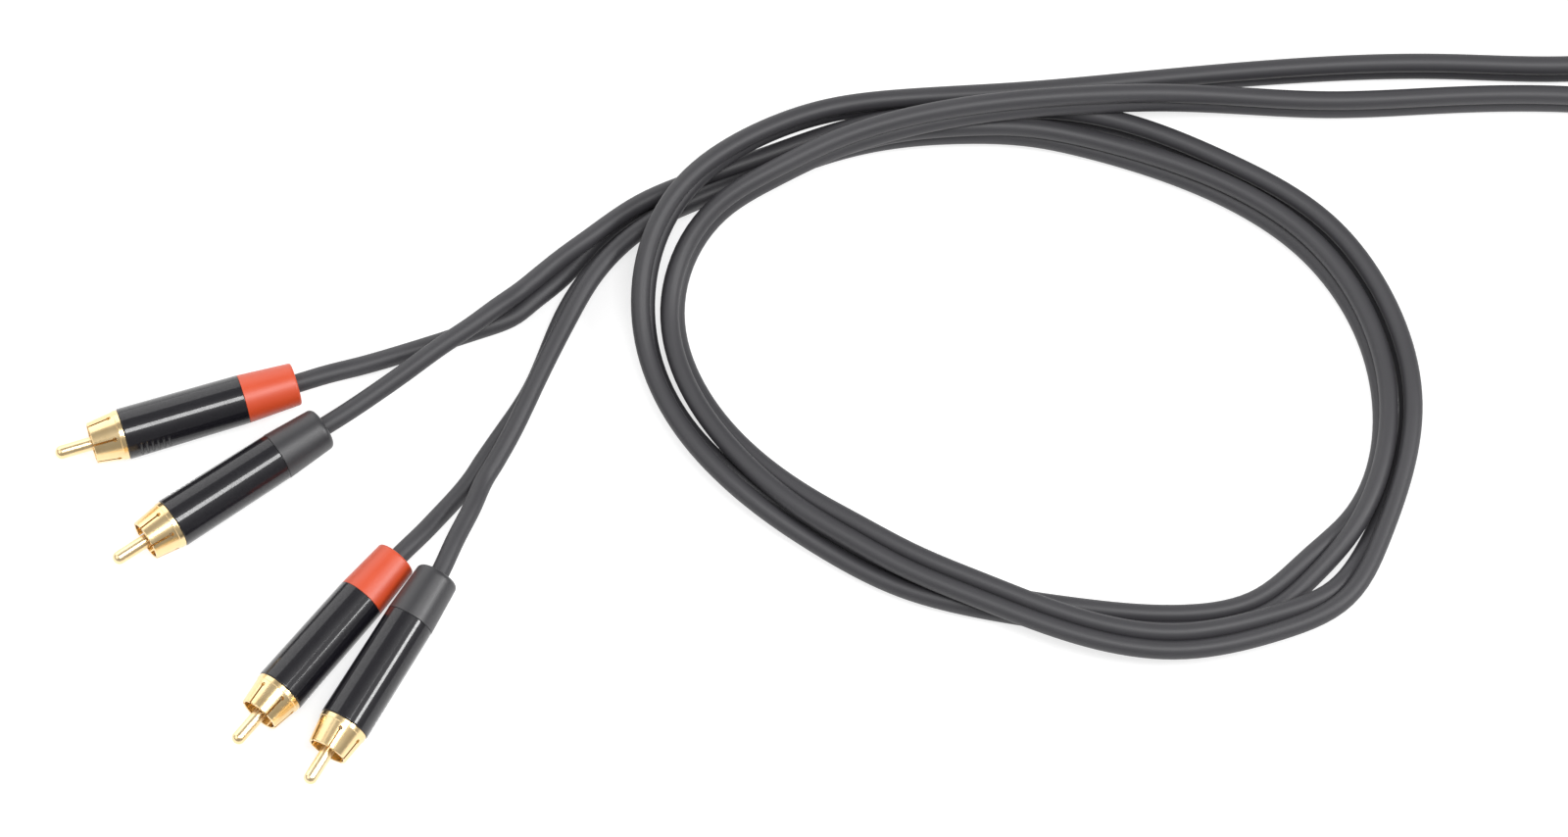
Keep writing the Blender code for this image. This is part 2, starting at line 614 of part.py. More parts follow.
# The four single strands, from inside their boots to the ends of the twin lead
for plug, route in LEG_ROUTES.items():
    start, axis = frames[plug]
    boot_end = SHELL_LENGTH + CLEAR + BOOT_LENGTH
    middle, run, side = strand_ends(sampled, plug.startswith("lower"))
    offset = side * CORD_DIA / 2
    joint = middle + (offset if plug.endswith("black") else -offset) - run * CLEAR
    inside = [start + axis * jacket_start(), start + axis * boot_end]
    free = [Vector(p) / 1000 for p in route]
    lead_in = joint - run * CORD_END_LEAD
    bent = natural_spline([tuple(point) for point in inside[1:] + free + [lead_in]], LEG_POINTS)
    points = [tuple(inside[0])] + [tuple(point) for point in bent] + [tuple(joint)]
    leg = poly_curve(plug + "_leg", points)
    leg.bevel_depth = CORD_DIA / 2
    leg.bevel_resolution = 3
    leg.materials.append(materials["cord_jacket"])
    parts.objects.link(bpy.data.objects.new(plug + "_leg", leg))
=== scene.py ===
# %% [markdown]
# # A stereo phono lead
#
# This lesson dresses a stereo phono lead: one flat twin cord that lies in a wide loop, with a red and a black
# plug at each of its ends. The solid model comes in as a fixed frame of named pieces. Each step below makes
# one visible piece from the same sizes, finer than the solid, and says which solid it stands for.
#
# Everything is in metres with +Z up, and the table is the plane z = 0.

# %% Load the frame
import math

import bmesh
import bpy
import numpy as np
from mathutils import Matrix, Vector


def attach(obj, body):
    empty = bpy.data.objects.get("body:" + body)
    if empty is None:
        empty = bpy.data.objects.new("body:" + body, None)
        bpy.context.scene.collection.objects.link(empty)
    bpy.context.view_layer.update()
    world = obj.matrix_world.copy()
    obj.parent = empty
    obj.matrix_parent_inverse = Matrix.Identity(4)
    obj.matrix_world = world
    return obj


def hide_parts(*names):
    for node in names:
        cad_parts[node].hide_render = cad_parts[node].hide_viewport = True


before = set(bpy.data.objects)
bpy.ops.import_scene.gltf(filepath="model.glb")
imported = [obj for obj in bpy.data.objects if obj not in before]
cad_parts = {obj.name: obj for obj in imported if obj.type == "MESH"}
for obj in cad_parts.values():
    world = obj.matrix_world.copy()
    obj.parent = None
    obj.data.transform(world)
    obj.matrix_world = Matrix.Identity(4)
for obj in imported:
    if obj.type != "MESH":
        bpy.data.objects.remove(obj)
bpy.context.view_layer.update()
print("solids in the frame:", len(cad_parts))

# %% [markdown]
# ## Arithmetic on sockets
#
# A shader or a Geometry Nodes tree is easier to read as a formula than as a list of links. The class below
# wraps one output socket, and Python's own operators add Math nodes to its tree. Every other kind of node
# comes from one method, which sets the node's own settings first and then its sockets.

# %% A wire that arithmetic can extend
class Wire:
    """One output of a node, in a shader tree or in a Geometry Nodes tree."""

    def __init__(self, tree, socket=None):
        self.tree = tree
        self.socket = socket

    def add(self, kind, settings=(), sockets=(), output=0):
        """One output of a new node in the same tree, with these settings and these values or wires."""
        node = self.tree.nodes.new(kind)
        for name, value in dict(settings).items():
            if name == "stops":
                set_stops(node.color_ramp, value)
            else:
                setattr(node, name, value)
        for name, value in dict(sockets).items():
            values = value if isinstance(value, list) else [value]
            for item in values:
                if isinstance(item, Wire):
                    self.tree.links.new(item.socket, node.inputs[name])
                else:
                    node.inputs[name].default_value = item
        return Wire(self.tree, node.outputs[output])

    def maths(self, operation, first, second=0.0):
        return self.add("ShaderNodeMath", {"operation": operation}, {0: first, 1: second})

    def __add__(self, other):
        return self.maths("ADD", self, other)

    def __radd__(self, other):
        return self.maths("ADD", other, self)

    def __sub__(self, other):
        return self.maths("SUBTRACT", self, other)

    def __rsub__(self, other):
        return self.maths("SUBTRACT", other, self)

    def __mul__(self, other):
        return self.maths("MULTIPLY", self, other)

    def __rmul__(self, other):
        return self.maths("MULTIPLY", other, self)

    def __truediv__(self, other):
        return self.maths("DIVIDE", self, other)

    def __rtruediv__(self, other):
        return self.maths("DIVIDE", other, self)


def set_stops(ramp, stops):
    """Give a colour ramp its (position, grey or colour) stops."""
    for i, (position, value) in enumerate(stops):
        stop = ramp.elements[i] if i < len(ramp.elements) else ramp.elements.new(position)
        stop.position = position
        stop.color = (*value, 1) if hasattr(value, "__len__") else (value, value, value, 1)


# %% [markdown]
# ## The view
#
# The lead was photographed from above with a long lens, so its parallel plugs hardly converge. A camera can
# be placed by eye, but here the plugs place it: they are alike and lie at four headings, and they come out
# equal in length only where the camera looks down at 68 degrees. It stands two and a half metres away.

# %% Camera
VIEW_RISE = math.radians(68)
VIEW_DISTANCE = 2.5
VIEW_TARGET = Vector((0.12486, 0.04161, 0))
VIEW_LENS = 242.4              # millimetres, on a 36 mm frame

lens = bpy.data.cameras.new("view")
lens.lens = VIEW_LENS
camera = bpy.data.objects.new("view", lens)
camera.location = VIEW_TARGET + VIEW_DISTANCE * Vector((0, -math.cos(VIEW_RISE), math.sin(VIEW_RISE)))
camera.rotation_euler = (math.pi / 2 - VIEW_RISE, 0, 0)
bpy.context.scene.collection.objects.link(camera)
bpy.context.scene.camera = camera
bpy.context.scene.view_settings.view_transform = "Standard"
print("camera at", tuple(round(c, 3) for c in camera.location))

# %% [markdown]
# ## The cord's route
#
# The twin lead is one long flexible strip that never changes length, so its route is a list of points that
# were listed one by one, with the tilt of the strip at each: 0 lies flat and 90 stands on edge. It leaves the
# upper plugs, runs round the loop, turns back in a wide bend beyond the picture and runs round the same loop
# to the lower plugs. A natural cubic spline makes the smooth line between the points, the way a bent batten
# would, and the four single strands between the twin lead and the plugs get the same treatment.

# %% Route of the twin lead, millimetres and degrees
UPPER_STRIP = [
    (66.2, 73.5, 3.85, 44), (71, 77.7, 4, 44), (77.3, 83.6, 4.6, 76), (89.9, 93.9, 4.8, 98),
    (102.6, 100.3, 4.5, 106), (120.5, 107.1, 4.5, 106), (136.3, 112.9, 4.5, 104), (149, 116.1, 4.5, 100),
    (167.9, 117.9, 4.6, 95), (186.5, 118.5, 4.9, 92), (206.3, 115.2, 4.6, 92), (229.5, 105.4, 4.6, 90),
    (253.9, 89.2, 4.6, 86), (266.4, 71, 4.6, 82), (273, 42.9, 4.7, 76), (263.8, 8.5, 4.8, 52),
    (254.9, -5.6, 6.4, 20), (240.4, -12.9, 7.3, 0), (216.6, -17.6, 7.3, -4), (193.8, -13.8, 7.3, 0),
    (170.9, -4.8, 7.3, 0), (153.5, 3.1, 7.2, 0), (141.7, 10, 7, 6), (130.6, 17.1, 6.5, 18),
    (117.6, 28.2, 5.2, 40), (103.6, 47, 4.3, 58), (98.4, 66.9, 5.2, 72), (101.5, 80.5, 8.1, 80),
    (110, 91.2, 11.8, 84), (122.2, 98.5, 14, 84), (136.5, 105.7, 14.6, 82), (149.4, 110.1, 15.2, 78),
    (172.1, 114.9, 15.4, 80), (197, 117.8, 14.2, 82), (216, 119.7, 11, 84), (235.2, 120.7, 6.7, 86),
    (255, 120.6, 4.8, 86), (282, 121.8, 4.6, 87), (310.2, 122.2, 4.6, 88),
]
FAR_BEND = [
    (326.8, 120.3, 4.6, 90), (342.6, 113.9, 4.6, 90), (358.5, 103.9, 4.6, 90), (381.1, 96.4, 4.6, 90),
    (402.6, 104.9, 4.6, 90), (411.8, 126.4, 4.6, 90), (402.6, 148.1, 4.6, 90), (381.1, 156.6, 4.6, 90),
    (358.6, 149, 4.6, 90), (342.6, 138.6, 4.6, 90), (326.8, 131.8, 4.6, 90),
]
LOWER_STRIP = [
    (310.3, 130, 4.6, 90), (282.1, 130.7, 4.6, 89), (243.5, 129.3, 4.6, 88), (207.5, 126, 4.6, 85),
    (181, 123.5, 4.6, 84), (154.3, 121.7, 4.7, 84), (138.2, 118.9, 6.5, 84), (122.9, 111.9, 11.3, 84),
    (111, 103.9, 14.4, 88), (101.8, 95.2, 15.2, 96), (94.8, 84.1, 13.1, 102), (91.5, 70, 8.8, 106),
    (92.9, 56, 5.5, 108), (101.1, 38, 4.4, 116), (114.3, 23.5, 4, 134), (133.3, 10.3, 2.9, 168),
    (152.9, -0.3, 2.5, 176), (170.8, -5.4, 2.4, 180), (194.1, -9.3, 2.4, 180), (217.9, -11, 2.4, 180),
    (237.7, -6.5, 2.4, 180), (249, 3, 3.2, 172), (258.8, 13.6, 4.4, 130), (267, 43.6, 4.6, 110),
    (260.8, 68.4, 4.4, 114), (249.5, 84.5, 4.5, 118), (234.2, 96.1, 4.6, 116), (215.9, 104.7, 4.5, 110),
    (196.3, 110.8, 4.7, 104), (184.5, 112.9, 5.5, 100), (166.7, 113.1, 6.3, 92), (147.9, 111, 6.3, 84),
    (135.9, 107.8, 5.8, 76), (120.4, 102.1, 5.2, 74), (99.7, 93.6, 5.2, 72), (87.6, 85.3, 5.9, 67),
    (78.4, 74.9, 5.5, 64), (73.2, 65.7, 4.8, 62), (65.5, 47.7, 4.6, 77), (59.1, 35.5, 4.2, 52),
    (55, 28.5, 3.9, 41),
]
TWIN_ROUTE = UPPER_STRIP + FAR_BEND + LOWER_STRIP
STRAND_ROUTES = {
    "upper_red": [(16.9, 51.0, 4.8), (24.0, 53.8, 2.7), (33.3, 56.8, 2.4), (44.0, 60.4, 2.4),
                  (54.0, 63.9, 2.4), (61.0, 67.0, 2.4)],
    "upper_black": [(21.2, 40.5, 6.0), (27.0, 44.8, 5.8), (36.0, 51.4, 6.5), (44.0, 57.4, 7.3),
                    (51.0, 62.4, 7.5), (57.0, 67.4, 7.0)],
    "lower_red": [(39.8, 10.6, 4.6), (43.3, 15.2, 3.1), (47.3, 20.1, 2.5)],
    "lower_black": [(47.2, 6.6, 8.0), (49.0, 10.8, 7.4), (51.5, 16.5, 6.6)],
}
MILLIMETRE = 0.001


# %% Smooth lines
def natural_spline(rows, count):
    """Points at even steps along a natural cubic through the rows, in every column."""
    rows = np.array(rows, float)
    steps = np.linalg.norm(np.diff(rows[:, :3], axis=0), axis=1)
    knots = np.concatenate([[0], np.cumsum(steps)])
    n = len(knots)
    system = np.eye(n)
    right = np.zeros_like(rows)
    for i in range(1, n - 1):
        system[i, i - 1:i + 2] = (steps[i - 1], 2 * (steps[i - 1] + steps[i]), steps[i])
        slope_after = (rows[i + 1] - rows[i]) / steps[i]
        slope_before = (rows[i] - rows[i - 1]) / steps[i - 1]
        right[i] = 6 * (slope_after - slope_before)
    bend = np.linalg.solve(system, right)
    where = np.linspace(0, knots[-1], count)
    k = np.clip(np.searchsorted(knots, where, side="right") - 1, 0, n - 2)
    b = ((where - knots[k]) / steps[k])[:, None]
    a = 1 - b
    cubic = (a ** 3 - a) * bend[k] + (b ** 3 - b) * bend[k + 1]
    return a * rows[k] + b * rows[k + 1] + cubic * steps[k][:, None] ** 2 / 6


def line_length(points):
    return float(np.linalg.norm(np.diff(np.array(points)[:, :3], axis=0), axis=1).sum())


TWIN_RINGS = 720
twin_rows = np.array(TWIN_ROUTE) * (MILLIMETRE, MILLIMETRE, MILLIMETRE, math.pi / 180)
twin_line = natural_spline(twin_rows, TWIN_RINGS)

# %% [markdown]
# ## Geometry Nodes helpers
#
# Three trees in this lesson share the same frame: named inputs at one end, and Realize Instances with Set
# Material at the other. `grow` hangs a tree on an object, sets its inputs by their identifiers before the
# first evaluation, and hands back the result as a plain mesh.

# %% Trees with named inputs
def new_tree(name, **kinds):
    """A Geometry Nodes tree with these inputs after its geometry, and the inputs as wires."""
    tree = bpy.data.node_groups.new(name, "GeometryNodeTree")
    tree.interface.new_socket("Geometry", in_out="INPUT", socket_type="NodeSocketGeometry")
    tree.interface.new_socket("Geometry", in_out="OUTPUT", socket_type="NodeSocketGeometry")
    for label, kind in kinds.items():
        tree.interface.new_socket(label, in_out="INPUT", socket_type="NodeSocket" + kind)
    source = tree.nodes.new("NodeGroupInput")
    return tree, {socket.name: Wire(tree, socket) for socket in source.outputs if socket.name}


def end_tree(tree, geometry, material):
    whole = geometry.add("GeometryNodeRealizeInstances", (), {"Geometry": geometry})
    painted = whole.add("GeometryNodeSetMaterial", (), {"Geometry": whole, "Material": material})
    sink = tree.nodes.new("NodeGroupOutput")
    tree.links.new(painted.socket, sink.inputs["Geometry"])


def grow(host, tree, **values):
    """The mesh that a tree makes from the host with these inputs. The host goes."""
    modifier = host.modifiers.new(tree.name, "NODES")
    modifier.node_group = tree
    for item in tree.interface.items_tree:
        if item.in_out == "INPUT" and item.name in values:
            modifier[item.identifier] = values[item.name]
    bpy.context.view_layer.update()
    made = host.evaluated_get(bpy.context.evaluated_depsgraph_get())
    mesh = bpy.data.meshes.new_from_object(made)
    bpy.data.objects.remove(host)
    return mesh


# %% [markdown]
# ## Sweeping the cord
#
# Both the twin lead and its single strands are extruded jackets, so one tree makes them all. Its outline is
# an arc and the same arc turned half round: with the strands apart they meet in the thin web of a twin lead,
# and with no distance between them they close into one round strand. The outline is swept along the route,
# whose tilt turns it. A curve's own bevel would sweep it too, but the tree takes the sizes as inputs, and it
# keeps the distance along the cord as an attribute for the jacket's finish.

# %% Tree: swept cord
CORD_DIA = 0.0045
WEB_HALF_ANGLE = math.radians(20)       # of the groove between the strands, seen from a strand's middle
STRAND_OFFSET = CORD_DIA / 2 * math.cos(WEB_HALF_ANGLE)
OUTLINE_WELD = 0.00001                  # joins the ends of the two arcs

cord_tree, given = new_tree("swept_cord", Radius="Float", Offset="Float", Sides="Int", Jacket="Material")
neck = given["Offset"].maths("ARCCOSINE", given["Offset"] / given["Radius"])
half_sweep = math.pi - neck
arc = neck.add("GeometryNodeCurveArc", {"mode": "RADIUS"}, {
    "Resolution": given["Sides"], "Radius": given["Radius"],
    "Start Angle": 0.0 - half_sweep, "Sweep Angle": half_sweep * 2.0})
shift = arc.add("ShaderNodeCombineXYZ", (), {"X": given["Offset"]})
lobe = arc.add("GeometryNodeTransform", (), {"Geometry": arc, "Translation": shift})
twin_of_lobe = lobe.add("GeometryNodeTransform", (), {"Geometry": lobe, "Rotation": (0.0, 0.0, math.pi)})
outline = lobe.add("GeometryNodeJoinGeometry", (), {"Geometry": [lobe, twin_of_lobe]})
outline = outline.add("GeometryNodeCurveToMesh", (), {"Curve": outline})
outline = outline.add("GeometryNodeMergeByDistance", (), {"Geometry": outline, "Distance": OUTLINE_WELD})
outline = outline.add("GeometryNodeMeshToCurve", (), {"Mesh": outline})
along = outline.add("GeometryNodeSplineParameter", output="Length")
route = outline.add("GeometryNodeStoreNamedAttribute", {"data_type": "FLOAT"}, {
    "Geometry": given["Geometry"], "Name": "along", "Value": along})
tube = route.add("GeometryNodeCurveToMesh", (), {"Curve": route, "Profile Curve": outline, "Fill Caps": True})
end_tree(cord_tree, tube, given["Jacket"])
print("swept cord tree:", len(cord_tree.nodes), "nodes")


def route_object(line):
    """A curve along the line, upright at tilt 0, for the tree to sweep."""
    curve = bpy.data.curves.new("route", "CURVE")
    curve.dimensions = "3D"
    curve.twist_mode = "Z_UP"
    spline = curve.splines.new("POLY")
    spline.points.add(len(line) - 1)
    for point, (x, y, z, tilt) in zip(spline.points, line):
        point.co = (x, y, z, 1)
        point.tilt = tilt
    host = bpy.data.objects.new("route", curve)
    bpy.context.scene.collection.objects.link(host)
    return host


# %% [markdown]
# ## Finishes
#
# Each finish starts from a Principled shader whose constant sockets are set directly. What varies over the
# surface is a formula on Object coordinates, in metres, or on the distance along the piece.

# %% Helpers for finishes
def new_finish(name, **constants):
    """A material with its shader's constant sockets set, the shader, and Object coordinates."""
    material = bpy.data.materials.new(name)
    material.use_nodes = True
    shader = material.node_tree.nodes["Principled BSDF"]
    for socket, value in constants.items():
        shader.inputs[socket.replace("_", " ")].default_value = value
    place = Wire(material.node_tree).add("ShaderNodeTexCoord", output="Object")
    return material, shader, place


def feed(shader, **wires):
    for socket, wire in wires.items():
        wire.tree.links.new(wire.socket, shader.inputs[socket.replace("_", " ")])


def noise(place, size, detail=2.0):
    """Noise from 0 to 1 whose blots are about this big, in metres."""
    return place.add("ShaderNodeTexNoise", (), {"Vector": place, "Scale": 1 / size, "Detail": detail})


def rings_along(far, to_the_metre):
    """Noise from 0 to 1 that changes only along a piece, with this many rings to the metre."""
    return far.add("ShaderNodeTexNoise", {"noise_dimensions": "1D"},
                   {"W": far, "Scale": to_the_metre, "Detail": 3.0})


def tint(factor, dark, light):
    """A colour between two, by a factor from 0 to 1."""
    settings = {"data_type": "RGBA", "clamp_factor": True}
    return factor.add("ShaderNodeMix", settings, {0: factor, 6: (*dark, 1), 7: (*light, 1)}, output=2)


def relief(height, depth, strength=1.0):
    """A normal from a height field of 0 to 1, this deep in metres."""
    return height.add("ShaderNodeBump", (), {"Strength": strength, "Distance": depth, "Height": height})


def distance_along(place):
    """The attribute with the distance along a cord or a plug, in metres."""
    return place.add("ShaderNodeAttribute", {"attribute_name": "along"}, output="Fac")


# %% [markdown]
# ### Jacket of the cord
#
# Soft PVC comes off the extruder with a satin skin: a fine grain that blurs the highlight, faint rings where
# the drawing speed changed, and a slightly lighter or darker tone over some centimetres. A picture of plastic
# would show its repeats along two metres of cord, so the skin is made of noise, which has none.

# %% Finish: cord jacket
def jacket_finish():
    material, shader, place = new_finish("dark_grey_jacket", Specular_IOR_Level=0.6)
    grain = noise(place, 0.00016, 3.0)
    cloud = noise(place, 0.022)
    rings = rings_along(distance_along(place), 420.0)
    feed(shader,
         Base_Color=tint(cloud * 0.7 + grain * 0.3, (0.032, 0.031, 0.035), (0.047, 0.046, 0.051)),
         Roughness=0.44 + grain * 0.10 + cloud * 0.06,
         Normal=relief(grain * 0.7 + rings * 0.3, 0.00003, 0.45))
    return material


jacket = jacket_finish()
print("jacket nodes:", len(jacket.node_tree.nodes))

# %% [markdown]
# ### The twin lead
#
# The flat twin lead splits into two round strands a few centimetres before its plugs, so it gets the sweep
# with the arcs apart. A finished piece rides on the object and hides the solid that it stands for. Faces
# that meet at more than the crease angle keep a sharp edge, and all others shade smoothly.

# %% Helpers for pieces
CREASE = math.radians(35)


def finished_piece(name, mesh, solid):
    """A visible piece at the origin that stands for one solid and moves with the object."""
    mesh.shade_smooth()
    mesh.set_sharp_from_angle(angle=CREASE)
    piece = bpy.data.objects.new(name, mesh)
    bpy.context.scene.collection.objects.link(piece)
    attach(piece, "root")
    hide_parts(solid)
    return piece


# %% Twin lead
LOBE_SIDES = 30
twin_mesh = grow(route_object(twin_line), cord_tree, Radius=CORD_DIA / 2, Offset=STRAND_OFFSET,
                 Sides=LOBE_SIDES, Jacket=jacket)
twin = finished_piece("twin_cord", twin_mesh, "twin_lead")
print("twin cord faces:", len(twin_mesh.polygons))

# %% [markdown]
# ## The plugs' places
#
# Each plug is made upright about its own Z axis, with the cord end up and zero at the front edge of its
# shell, and is laid down by one matrix. Modelling it where it lies would mean working at four odd angles. A
# heading is the direction from pin to cord along the table, and the last two angles turn the collar's slots
# and the shell's grip.

# %% Plugs: shell front x, y, then heading, pitch, slot turn and grip turn in degrees
SHELL_FRONT_DIA = 0.0124
PLUGS = {
    "upper_red": (-0.0311, 0.0351, 17.6, 0.0, 29.0, 75.0),
    "upper_black": (-0.0189, 0.0125, 34.9, 0.0, 41.0, -76.0),
    "lower_red": (0.0071, -0.0295, 51.1, 0.0, 30.5, 111.0),
    "lower_black": (0.0222, -0.0379, 59.4, 2.6, 10.0, 107.0),
}


def plug_axis(plug):
    heading, pitch = (math.radians(angle) for angle in PLUGS[plug][2:4])
    return Vector((math.cos(heading) * math.cos(pitch), math.sin(heading) * math.cos(pitch), math.sin(pitch)))


def plug_front(plug):
    return Vector((*PLUGS[plug][:2], SHELL_FRONT_DIA / 2))


def plug_matrix(plug, turn):
    """Lays an upright plug piece down in its place, turned about its own axis first."""
    lay = plug_axis(plug).to_track_quat("Z", "X").to_matrix().to_4x4()
    return Matrix.Translation(plug_front(plug)) @ lay @ Matrix.Rotation(math.radians(turn), 4, "Z")


print("plugs:", ", ".join(PLUGS))

# %% [markdown]
# ## Single strands
#
# A strand starts inside its plug, where its outer jacket is stripped, runs straight through the boot and
# bends over to its own half of the twin lead. It follows that half for two more rings, a hair thinner than
# the half is, so the split shows no gap and ends in the groove as on a lead whose halves are pulled apart.

# %% Single strands
CLEAR = 0.0003                  # between pieces that touch
TIGHT = 0.00005                 # where two pieces are pressed together
SHELL_LENGTH = 0.0295
BOOT_LENGTH = 0.0128
BOOT_END = SHELL_LENGTH + CLEAR + BOOT_LENGTH
JACKET_START = 0.0200           # behind the shell's front edge
STRAIGHT_IN_BOOT = 0.0090
CORD_END_LEAD = 0.0030          # straight run before the split
BURIED_RINGS = (1, 2)           # of the twin lead, which each strand follows past the split
SEAM_STEP = 0.00001             # the strand's radius under that of its half of the twin lead
STRAND_RINGS = 64


def half_of_twin(line, steps_in, sign):
    """A point on the middle line of one half of the twin lead, some rings in from the first of the line."""
    here = Vector(line[steps_in][:3])
    forward = (Vector(line[steps_in + 1][:3]) - here).normalized()
    left = Vector((-forward.y, forward.x, 0)).normalized()
    tilt = line[steps_in][3]
    side = left * math.cos(tilt) + forward.cross(left) * math.sin(tilt)
    return here + side * STRAND_OFFSET * sign, forward


backwards = twin_line[::-1] * (1, 1, 1, -1)
for plug, free in STRAND_ROUTES.items():
    line = backwards if plug.startswith("lower") else twin_line
    sign = 1 if plug.endswith("black") == plug.startswith("upper") else -1
    joint, run = half_of_twin(line, 0, sign)
    buried = [half_of_twin(line, steps_in, sign)[0] for steps_in in BURIED_RINGS]
    leave = plug_front(plug) + plug_axis(plug) * BOOT_END
    rows = [leave - plug_axis(plug) * back for back in (BOOT_END - JACKET_START, STRAIGHT_IN_BOOT, 0)]
    rows += [Vector(point) * MILLIMETRE for point in free] + [joint - run * CORD_END_LEAD, joint] + buried
    bent = natural_spline([(*point, 0.0) for point in rows], STRAND_RINGS)
    mesh = grow(route_object(bent), cord_tree, Radius=CORD_DIA / 2 - SEAM_STEP, Offset=0.0,
                Sides=LOBE_SIDES // 2, Jacket=jacket)
    strand = finished_piece(plug + "_strand", mesh, plug + "_leg")
    print(plug, "strand:", round(line_length(bent) * 1000, 1), "mm, lowest",
          round((bent[:, 2].min() - CORD_DIA / 2) * 1000, 2), "mm")

# %% [markdown]
# ## Turned pieces
#
# Pin, collar, shell and boot all come off a lathe or out of a round mould. Each is an outline of corners in
# radius and height, with a fillet at every corner that would catch the light. A Bevel modifier would round
# all edges alike, while the outline decides corner by corner. Beside each fillet an extra ring keeps the long
# flanks from shading as if they were round. The outline is spun about Z, and the height is kept as an
# attribute for finishes that follow the turning.

# %% Rounded outlines, spun
CRISP = 0.0001                  # fillets of turned edges
EASED = 0.0002
WELD = 0.0000005                # points closer than this are one


def rounded(corners, steps=5):
    """Points of a closed outline from (radius, height, fillet) corners."""
    points = []
    for i, (radius, height, fillet) in enumerate(corners):
        here = Vector((radius, height))
        if fillet == 0:
            points.append(here)
            continue
        before = Vector(corners[i - 1][:2]) - here
        after = Vector(corners[(i + 1) % len(corners)][:2]) - here
        back, onward = before.normalized(), after.normalized()
        half = back.angle(onward) / 2
        reach = fillet / math.tan(half)
        ledge = min(fillet, before.length - reach, after.length - reach) / 3
        centre = here + (back + onward).normalized() * fillet / math.sin(half)
        first = here + back * reach
        last = here + onward * reach
        sweep = (first - centre).angle_signed(last - centre)
        bend = [centre + Matrix.Rotation(-sweep * k / steps, 2) @ (first - centre) for k in range(steps + 1)]
        points += [first + back * ledge] + bend + [last + onward * ledge]
    return points


def spun(outline, sides):
    """A host object with the closed outline spun once round Z."""
    bm = bmesh.new()
    verts = [bm.verts.new((point.x, 0, point.y)) for point in outline]
    edges = [bm.edges.new((verts[i - 1], verts[i])) for i in range(len(verts))]
    bmesh.ops.spin(bm, geom=verts + edges, cent=(0, 0, 0), axis=(0, 0, 1), angle=math.tau, steps=sides,
                   use_merge=True)
    bmesh.ops.remove_doubles(bm, verts=bm.verts, dist=WELD)
    bmesh.ops.dissolve_degenerate(bm, edges=bm.edges, dist=WELD)
    bmesh.ops.recalc_face_normals(bm, faces=bm.faces)
    mesh = bpy.data.meshes.new("turned")
    bm.to_mesh(mesh)
    bm.free()
    host = bpy.data.objects.new("turned", mesh)
    bpy.context.scene.collection.objects.link(host)
    return host


def taken_from(host, material):
    """The host's mesh with its material. The host goes."""
    mesh = host.data
    mesh.materials.append(material)
    bpy.data.objects.remove(host)
    return mesh


def laid_down(mesh, plug, turn):
    """A copy of an upright mesh in a plug's place, with its height kept as the attribute along."""
    copy = mesh.copy()
    heights = [vertex.co.z for vertex in copy.vertices]
    if "along" not in copy.attributes:
        copy.attributes.new("along", "FLOAT", "POINT")
    copy.attributes["along"].data.foreach_set("value", heights)
    copy.transform(plug_matrix(plug, turn))
    return copy


# %% [markdown]
# ## Gold plate
#
# Collar and pin are turned brass under a thin gold plate. A metal has no colour but that of its reflections,
# so the shader is fully metallic. The plate is bright but not a mirror: fine rings from the lathe run round
# the piece, and the colour deepens a little where the plate is thicker.

# %% Finish: gold plate
def gold_finish(name, light, deep, roughness):
    material, shader, place = new_finish(name, Metallic=1.0)
    rings = rings_along(distance_along(place), 9000.0)
    cloud = noise(place, 0.004, 1.0)
    feed(shader,
         Base_Color=tint(cloud, deep, light),
         Roughness=roughness + rings * 0.05 + cloud * 0.04,
         Normal=relief(rings, 0.0000012, 0.5))
    return material


GOLD_BRIGHT = (1.0, 0.84, 0.56)
GOLD_LIGHT = (1.0, 0.80, 0.48)
GOLD_DEEP = (0.98, 0.70, 0.34)
gold = gold_finish("gold_plate", GOLD_LIGHT, GOLD_DEEP, 0.20)
bright_gold = gold_finish("bright_gold_plate", GOLD_BRIGHT, GOLD_DEEP, 0.24)
print("gold nodes:", len(gold.node_tree.nodes))

# %% [markdown]
# ## Centre pin
#
# A solid round pin with a ball end goes through the insulator and ends in a cup, in which the inner
# conductor is soldered. A sphere, a cylinder and a tube would leave joints between them, so the whole pin is
# one turned outline, from the tip to the floor of the cup.

# %% Centre pin
COLLAR_LENGTH = 0.0077
PIN_DIA = 0.0032
PIN_REACH = 0.0089
PIN_CUP_DIA = 0.0044
PIN_CUP_BORE = 0.0024
PIN_CUP_DEPTH = 0.0034
PIN_CUP_LENGTH = 0.0046
SPIGOT_LENGTH = 0.0060
INSULATOR_REAR = SPIGOT_LENGTH + CLEAR
TIP_ROUNDING = 0.96             # share of the pin's radius
PIN_SIDES = 56

pin_tip = -COLLAR_LENGTH - PIN_REACH
cup_start = INSULATOR_REAR + CLEAR
cup_end = cup_start + PIN_CUP_LENGTH
cup_floor = cup_end - PIN_CUP_DEPTH
pin_outline = rounded([
    (0, pin_tip, 0), (PIN_DIA / 2, pin_tip, PIN_DIA / 2 * TIP_ROUNDING), (PIN_DIA / 2, cup_start, 0),
    (PIN_CUP_DIA / 2, cup_start, EASED), (PIN_CUP_DIA / 2, cup_end, EASED),
    (PIN_CUP_BORE / 2, cup_end, CRISP), (PIN_CUP_BORE / 2, cup_floor, 0), (0, cup_floor, 0)], steps=8)
pin_mesh = taken_from(spun(pin_outline, PIN_SIDES), bright_gold)
print("pin faces:", len(pin_mesh.polygons))

